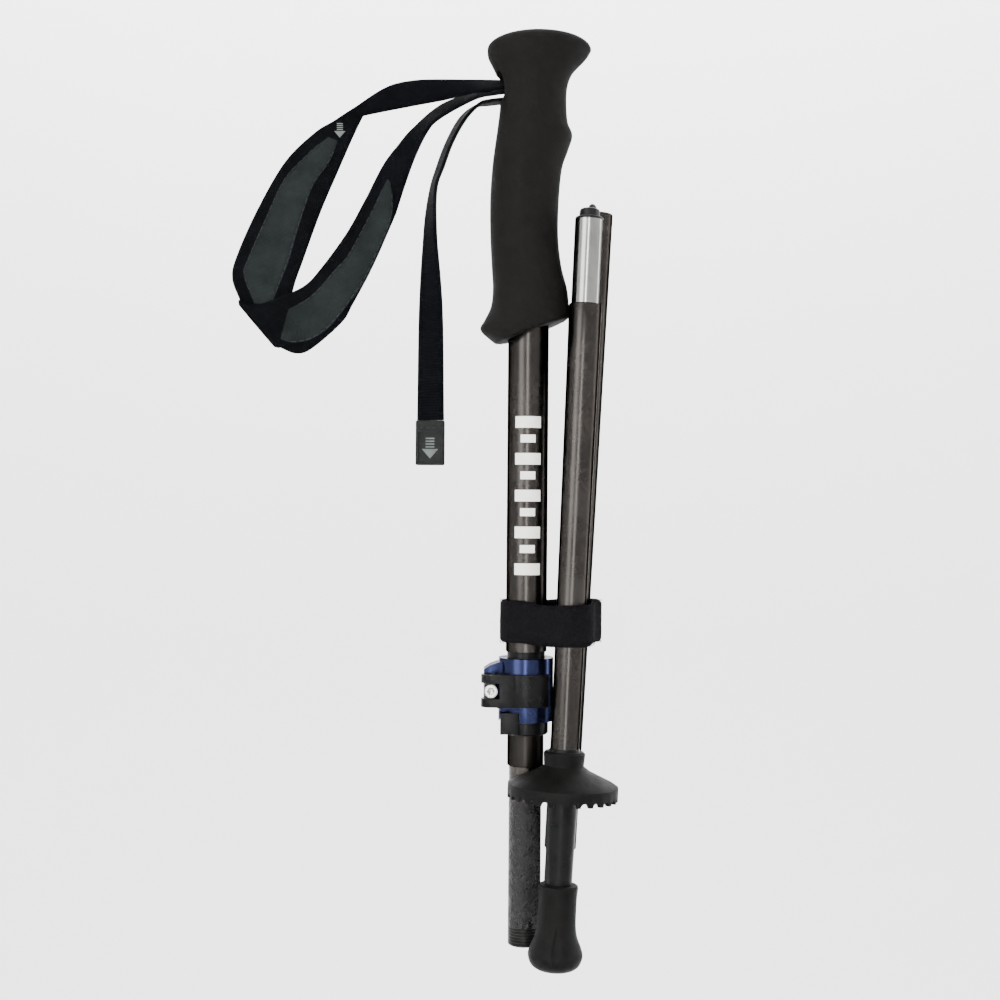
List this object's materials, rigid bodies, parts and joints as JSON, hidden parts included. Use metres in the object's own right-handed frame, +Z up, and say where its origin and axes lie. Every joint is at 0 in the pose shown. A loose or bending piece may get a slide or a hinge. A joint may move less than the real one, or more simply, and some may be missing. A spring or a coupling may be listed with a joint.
{
  "type": "folding trekking pole",
  "caption": "Folding trekking pole in a Z-fold: foam grip with wrist strap, lever-locked extension, cord-joined sections, basket and rubber-capped tip.",
  "frame": {"origin": "on the grip section's axis at mid grip, where a hand holds it", "axes": "+Z up along the grip section, +X to the folded sections' side, +Y away from the lever's front"},
  "size_m": [0.1708, 0.0556, 0.4071],
  "materials": {
    "foam": "matt EVA foam",
    "moulded_black": "fine texture",
    "steel": "polished",
    "gunmetal": "satin anodised",
    "satin_grey": "satin",
    "wrinkle_black": "wrinkle coat",
    "blue_anodised": "gloss anodised",
    "polished_alloy": "polished",
    "webbing": "woven nylon",
    "lining": "brushed knit",
    "hook_loop": "fuzzy loop",
    "rubber_black": "moulded",
    "cord_sheath": "braided",
    "carbide": "ground",
    "tab_grey": "moulded"
  },
  "bodies": {
    "grip_section": {"grip_foam": "foam", "grip_core": "moulded_black", "strap_pin": "steel", "strap_wedge": "moulded_black", "upper_shaft": "gunmetal", "lock_base": "moulded_black", "clamp_band": "blue_anodised", "clamp_bolt": "steel", "clamp_nut": "steel", "lever_barrel_pin": "steel", "strap_web_rear": "webbing", "strap_pad_rear": "lining", "strap_pad_front": "lining", "strap_web_front": "webbing", "strap_tail": "webbing", "strap_end_tab": "tab_grey", "storage_band": "hook_loop"},
    "lever": {"lock_lever": "moulded_black"},
    "extension": {"extension_tube": "satin_grey", "extension_bushing": "moulded_black", "cord_anchor": "moulded_black", "cord_stop_upper": "steel", "cord_run_upper": "cord_sheath"},
    "tension": {"tension_tube": "wrinkle_black", "socket_collar": "wrinkle_black", "button_spring": "steel"},
    "button": {"snap_button": "steel"},
    "lower_cord_link": {"cord_loop_lower": "cord_sheath"},
    "middle_section": {"middle_tube": "gunmetal", "middle_joint_tube": "polished_alloy", "middle_plug": "moulded_black", "cord_run_middle": "cord_sheath"},
    "upper_cord_link": {"cord_loop_upper": "cord_sheath"},
    "lower_section": {"lower_joint_tube": "polished_alloy", "lower_plug": "moulded_black", "lower_tube": "gunmetal", "cord_run_lower": "cord_sheath", "cord_stop_lower": "steel", "basket": "rubber_black", "tip_sleeve": "moulded_black", "carbide_tip": "carbide"},
    "cap": {"rubber_cap": "rubber_black"}
  },
  "joints": [
    {"name": "lever_hinge", "type": "hinge", "parent": "grip_section", "child": "lever", "pos_m": [-0.0152, -0.0105, -0.2144], "axis": [0, 0, -1], "range_deg": [0, 115]},
    {"name": "extension_slide", "type": "slide", "parent": "grip_section", "child": "extension", "axis": [0, 0, -1], "range_m": [0, 0.145]},
    {"name": "tension_slide", "type": "slide", "parent": "extension", "child": "tension", "axis": [0, 0, -1], "range_m": [0, 0.018], "deforming": ["cord_run_upper"]},
    {"name": "button_press", "type": "slide", "parent": "tension", "child": "button", "axis": [0, 1, 0], "range_m": [-0.0025, 0], "stiffness_N_per_m": 600, "springref_m": 0.002, "deforming": ["button_spring"]},
    {"name": "upper_fold", "type": "hinge", "parent": "tension", "child": "lower_cord_link", "pos_m": [0.00692, 0.00147, -0.32339], "axis": [-0.2079, 0.9781, 0], "range_deg": [0, 177], "deforming": ["cord_loop_lower", "storage_band"]},
    {"name": "upper_seat", "type": "slide", "parent": "lower_cord_link", "child": "middle_section", "axis": [-0.0512, -0.0109, -0.9986], "range_m": [0, 0.0343], "deforming": ["cord_run_middle"]},
    {"name": "lower_seat", "type": "slide", "parent": "middle_section", "child": "upper_cord_link", "axis": [-0.0512, -0.0109, -0.9986], "range_m": [0, 0.04405], "deforming": ["cord_run_lower"]},
    {"name": "lower_fold", "type": "hinge", "parent": "upper_cord_link", "child": "lower_section", "pos_m": [0.02824, -0.00043, -0.00365], "axis": [-0.9586, 0.2821, 0.0382], "range_deg": [0, 179.12], "deforming": ["cord_loop_upper"]},
    {"name": "cap_pull", "type": "slide", "parent": "lower_section", "child": "cap", "axis": [-0.0404, -0.03, -0.9987], "range_m": [0, 0.04]}
  ],
  "couplings": [
    {"joint": "lower_fold", "follows": "upper_fold", "ratio": 1.012}
  ]
}
